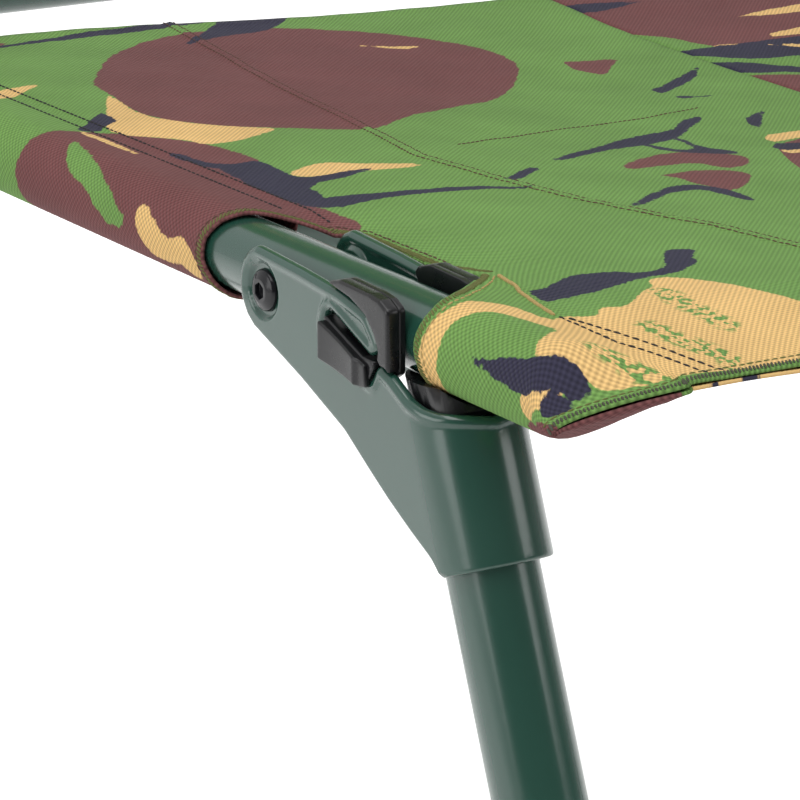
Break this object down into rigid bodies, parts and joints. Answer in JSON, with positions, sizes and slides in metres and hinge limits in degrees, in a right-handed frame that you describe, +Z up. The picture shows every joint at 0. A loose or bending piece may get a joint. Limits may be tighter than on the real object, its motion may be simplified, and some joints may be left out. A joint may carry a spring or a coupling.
{
  "type": "carp fishing chair",
  "caption": "Folding fishing chair with camouflage seat and reclining back on a tubular frame, folding sliding legs and swivelling mud feet.",
  "frame": {"origin": "middle of the whole chair in plan, on the ground under its feet", "axes": "+Z up, -Y the way the sitter faces, +X to the right as seen from in front"},
  "size_m": [0.739, 0.7766, 0.9516],
  "materials": {
    "paint": "dark green gloss paint",
    "plastic": "black moulded plastic",
    "steel": "blackened steel",
    "foot_plastic": "black moulded plastic, matt",
    "fabric": "woven camouflage cloth"
  },
  "bodies": {
    "seat_frame": {"seat_rail_left": "paint", "seat_rail_right": "paint", "front_cross_bar": "paint", "rear_frame": "paint", "rear_plug_left": "plastic", "rear_plug_right": "plastic", "seat_fabric": "fabric", "recliner_base_left": "plastic", "recliner_base_right": "plastic", "recliner_bolt_left": "steel", "recliner_bolt_right": "steel", "front_left_pivot_bolt": "steel", "front_right_pivot_bolt": "steel", "rear_left_pivot_bolt": "steel", "rear_right_pivot_bolt": "steel"},
    "backrest": {"back_frame": "paint", "back_cross_bar": "paint", "back_fabric": "fabric", "recliner_hub_left": "plastic", "recliner_hub_right": "plastic"},
    "recline_lever_left": {"recline_lever_left": "plastic"},
    "recline_lever_right": {"recline_lever_right": "plastic"},
    "front_left_leg": {"front_left_bracket": "paint", "front_left_clip_outer": "plastic", "front_left_clip_inner": "plastic", "front_left_top_cap": "plastic", "front_left_upper_leg": "paint", "front_left_collar": "plastic"},
    "front_left_clamp": {"front_left_lever": "plastic"},
    "front_left_slider": {"front_left_lower_leg": "paint"},
    "front_left_mud_foot": {"front_left_foot": "foot_plastic"},
    "front_right_leg": {"front_right_bracket": "paint", "front_right_clip_outer": "plastic", "front_right_clip_inner": "plastic", "front_right_top_cap": "plastic", "front_right_upper_leg": "paint", "front_right_collar": "plastic"},
    "front_right_clamp": {"front_right_lever": "plastic"},
    "front_right_slider": {"front_right_lower_leg": "paint"},
    "front_right_mud_foot": {"front_right_foot": "foot_plastic"},
    "rear_left_leg": {"rear_left_bracket": "paint", "rear_left_clip_outer": "plastic", "rear_left_clip_inner": "plastic", "rear_left_top_cap": "plastic", "rear_left_upper_leg": "paint", "rear_left_collar": "plastic"},
    "rear_left_clamp": {"rear_left_lever": "plastic"},
    "rear_left_slider": {"rear_left_lower_leg": "paint"},
    "rear_left_mud_foot": {"rear_left_foot": "foot_plastic"},
    "rear_right_leg": {"rear_right_bracket": "paint", "rear_right_clip_outer": "plastic", "rear_right_clip_inner": "plastic", "rear_right_top_cap": "plastic", "rear_right_upper_leg": "paint", "rear_right_collar": "plastic"},
    "rear_right_clamp": {"rear_right_lever": "plastic"},
    "rear_right_slider": {"rear_right_lower_leg": "paint"},
    "rear_right_mud_foot": {"rear_right_foot": "foot_plastic"}
  },
  "joints": [
    {"name": "back_recline", "type": "hinge", "parent": "seat_frame", "child": "backrest", "pos_m": [0, 0.17026, 0.375], "axis": [1, 0, 0], "range_deg": [-40, 108]},
    {"name": "recline_lever_left_lift", "type": "hinge", "parent": "seat_frame", "child": "recline_lever_left", "pos_m": [-0.286, 0.17026, 0.375], "axis": [-1, 0, 0], "range_deg": [0, 45]},
    {"name": "recline_lever_right_lift", "type": "hinge", "parent": "seat_frame", "child": "recline_lever_right", "pos_m": [0.286, 0.17026, 0.375], "axis": [-1, 0, 0], "range_deg": [0, 45]},
    {"name": "front_left_fold", "type": "hinge", "parent": "seat_frame", "child": "front_left_leg", "pos_m": [-0.28, -0.16474, 0.33], "axis": [1, 0, 0], "range_deg": [0, 111]},
    {"name": "front_left_height", "type": "slide", "parent": "front_left_leg", "child": "front_left_slider", "axis": [0, -0.3691, -0.9294], "range_m": [-0.05, 0.06]},
    {"name": "front_left_clamp_lever", "type": "hinge", "parent": "front_left_leg", "child": "front_left_clamp", "pos_m": [-0.276, -0.32231, 0.15747], "axis": [0, 0.3691, 0.9294], "range_deg": [0, 100]},
    {"name": "front_left_foot_tilt", "type": "hinge", "parent": "front_left_slider", "child": "front_left_mud_foot", "pos_m": [-0.28, -0.35426, 0.02], "axis": [1, 0, 0], "range_deg": [-66, 23]},
    {"name": "front_right_fold", "type": "hinge", "parent": "seat_frame", "child": "front_right_leg", "pos_m": [0.28, -0.16474, 0.33], "axis": [1, 0, 0], "range_deg": [0, 111]},
    {"name": "front_right_height", "type": "slide", "parent": "front_right_leg", "child": "front_right_slider", "axis": [0, -0.3691, -0.9294], "range_m": [-0.05, 0.06]},
    {"name": "front_right_clamp_lever", "type": "hinge", "parent": "front_right_leg", "child": "front_right_clamp", "pos_m": [0.276, -0.32231, 0.15747], "axis": [0, -0.3691, -0.9294], "range_deg": [0, 100]},
    {"name": "front_right_foot_tilt", "type": "hinge", "parent": "front_right_slider", "child": "front_right_mud_foot", "pos_m": [0.28, -0.35426, 0.02], "axis": [1, 0, 0], "range_deg": [-66, 23]},
    {"name": "rear_left_fold", "type": "hinge", "parent": "seat_frame", "child": "rear_left_leg", "pos_m": [-0.336, 0.13526, 0.33], "axis": [-1, 0, 0], "range_deg": [0, 111]},
    {"name": "rear_left_height", "type": "slide", "parent": "rear_left_leg", "child": "rear_left_slider", "axis": [0, 0.3691, -0.9294], "range_m": [-0.05, 0.06]},
    {"name": "rear_left_clamp_lever", "type": "hinge", "parent": "rear_left_leg", "child": "rear_left_clamp", "pos_m": [-0.332, 0.29283, 0.15747], "axis": [0, 0.3691, -0.9294], "range_deg": [0, 100]},
    {"name": "rear_left_foot_tilt", "type": "hinge", "parent": "rear_left_slider", "child": "rear_left_mud_foot", "pos_m": [-0.336, 0.32477, 0.02], "axis": [-1, 0, 0], "range_deg": [-66, 23]},
    {"name": "rear_right_fold", "type": "hinge", "parent": "seat_frame", "child": "rear_right_leg", "pos_m": [0.336, 0.13526, 0.33], "axis": [-1, 0, 0], "range_deg": [0, 111]},
    {"name": "rear_right_height", "type": "slide", "parent": "rear_right_leg", "child": "rear_right_slider", "axis": [0, 0.3691, -0.9294], "range_m": [-0.05, 0.06]},
    {"name": "rear_right_clamp_lever", "type": "hinge", "parent": "rear_right_leg", "child": "rear_right_clamp", "pos_m": [0.332, 0.29283, 0.15747], "axis": [0, -0.3691, 0.9294], "range_deg": [0, 100]},
    {"name": "rear_right_foot_tilt", "type": "hinge", "parent": "rear_right_slider", "child": "rear_right_mud_foot", "pos_m": [0.336, 0.32477, 0.02], "axis": [-1, 0, 0], "range_deg": [-66, 23]}
  ]
}
